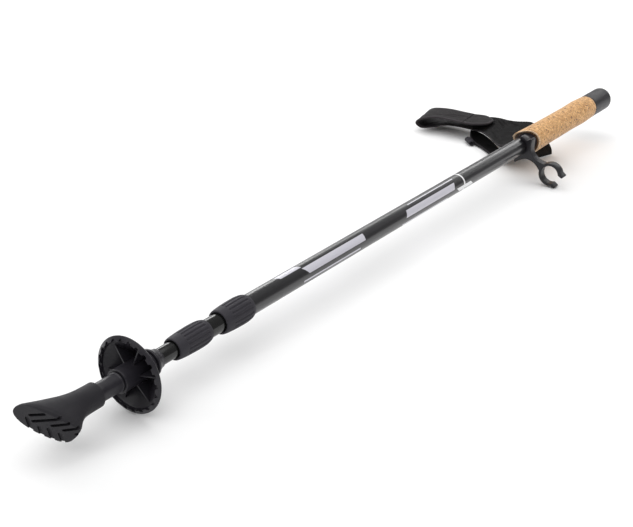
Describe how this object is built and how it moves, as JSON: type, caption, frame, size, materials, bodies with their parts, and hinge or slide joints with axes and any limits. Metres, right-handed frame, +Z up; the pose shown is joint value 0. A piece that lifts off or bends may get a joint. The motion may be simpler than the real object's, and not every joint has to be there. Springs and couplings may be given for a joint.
{
  "type": "nordic walking pole",
  "caption": "Telescoping walking pole with twist locks, a cork grip, a wrist and thumb strap, a pole clip, a cup basket and a slanted rubber paw.",
  "frame": {"origin": "centre of the footprint, on the surface that the pole lies on", "axes": "+X runs along the pole from the paw to the grip cap, +Y is the side that the strap lies on, +Z is up"},
  "size_m": [0.8454, 0.2228, 0.0546],
  "materials": {
    "gloss_tube": "black gloss paint on aluminium, with plain silver panels",
    "anodised_tube": "black anodised, satin",
    "lock_rubber": "matt black",
    "moulded_plastic": "satin black, moulded",
    "grey_nylon": "natural grey",
    "steel": "bright",
    "paw_rubber": "matt black",
    "clip_plastic": "satin black",
    "cork": "ground and pressed cork, matt",
    "cap_rubber": "matt black",
    "webbing": "black woven tape",
    "strap_fabric": "black laminated cloth"
  },
  "bodies": {
    "upper_section": {"upper_tube": "gloss_tube", "upper_lock_sleeve": "lock_rubber", "grip_core": "moulded_plastic", "cork_grip": "cork", "grip_cap": "cap_rubber", "strap_tape": "webbing", "strap_wedge": "moulded_plastic", "strap_tail": "webbing"},
    "clip": {"pole_clip": "clip_plastic"},
    "hand_strap": {"palm_panel": "strap_fabric", "wrist_band": "strap_fabric", "thumb_band": "strap_fabric", "size_tab": "webbing"},
    "closure": {"closure_flap": "strap_fabric"},
    "upper_expander": {"upper_expander": "grey_nylon"},
    "upper_cone": {"upper_cone_nut": "steel"},
    "middle_section": {"middle_tube": "anodised_tube", "lower_lock_sleeve": "lock_rubber", "upper_plug": "moulded_plastic", "upper_screw": "steel"},
    "lower_expander": {"lower_expander": "grey_nylon"},
    "lower_cone": {"lower_cone_nut": "steel"},
    "lower_section": {"lower_tube": "anodised_tube", "lower_plug": "moulded_plastic", "lower_screw": "steel", "ferrule": "moulded_plastic", "carbide_tip": "steel"},
    "basket": {"basket": "moulded_plastic"},
    "tip_washer": {"tip_washer": "steel"},
    "paw": {"paw": "paw_rubber"}
  },
  "joints": [
    {"name": "clip_turn", "type": "hinge", "parent": "upper_section", "child": "clip", "pos_m": [0.22094, -0.06246, 0.0356], "axis": [0.9999, 0, 0.0148], "continuous": true},
    {"name": "strap_swing", "type": "hinge", "parent": "upper_section", "child": "hand_strap", "pos_m": [0.27328, -0.04913, 0.03295], "axis": [1, 0, 0], "range_deg": [0, 75]},
    {"name": "closure_peel", "type": "hinge", "parent": "hand_strap", "child": "closure", "pos_m": [0.32098, 0.04744, 0.02158], "axis": [-0.9941, -0.1084, -0.0026], "range_deg": [0, 120]},
    {"name": "upper_stage_slide", "type": "slide", "parent": "upper_section", "child": "upper_expander", "axis": [-0.9999, 0, -0.0148], "range_m": [0, 0.25]},
    {"name": "upper_lock_twist", "type": "hinge", "parent": "upper_expander", "child": "middle_section", "pos_m": [0.1014, -0.06246, 0.03383], "axis": [0.9999, 0, 0.0148], "range_deg": [0, 360]},
    {"name": "upper_cone_travel", "type": "slide", "parent": "upper_expander", "child": "upper_cone", "axis": [-0.9999, 0, -0.0148], "range_m": [0, 0.0015]},
    {"name": "lower_stage_slide", "type": "slide", "parent": "middle_section", "child": "lower_expander", "axis": [-0.9999, 0, -0.0148], "range_m": [0, 0.25]},
    {"name": "lower_lock_twist", "type": "hinge", "parent": "lower_expander", "child": "lower_section", "pos_m": [0.02241, -0.06246, 0.03267], "axis": [0.9999, 0, 0.0148], "range_deg": [0, 360]},
    {"name": "lower_cone_travel", "type": "slide", "parent": "lower_expander", "child": "lower_cone", "axis": [-0.9999, 0, -0.0148], "range_m": [0, 0.0015]},
    {"name": "basket_turn", "type": "hinge", "parent": "lower_section", "child": "basket", "pos_m": [-0.34115, -0.06246, 0.0273], "axis": [0.9999, 0, 0.0148], "continuous": true},
    {"name": "paw_pull", "type": "slide", "parent": "lower_section", "child": "tip_washer", "axis": [-0.9999, 0, -0.0148], "range_m": [0, 0.05]},
    {"name": "paw_turn", "type": "hinge", "parent": "tip_washer", "child": "paw", "pos_m": [-0.40035, -0.06246, 0.02642], "axis": [0.9999, 0, 0.0148], "continuous": true}
  ],
  "couplings": [
    {"joint": "upper_cone_travel", "follows": "upper_lock_twist", "m_per_rad": 0.00023873},
    {"joint": "lower_cone_travel", "follows": "lower_lock_twist", "m_per_rad": 0.00023873}
  ]
}
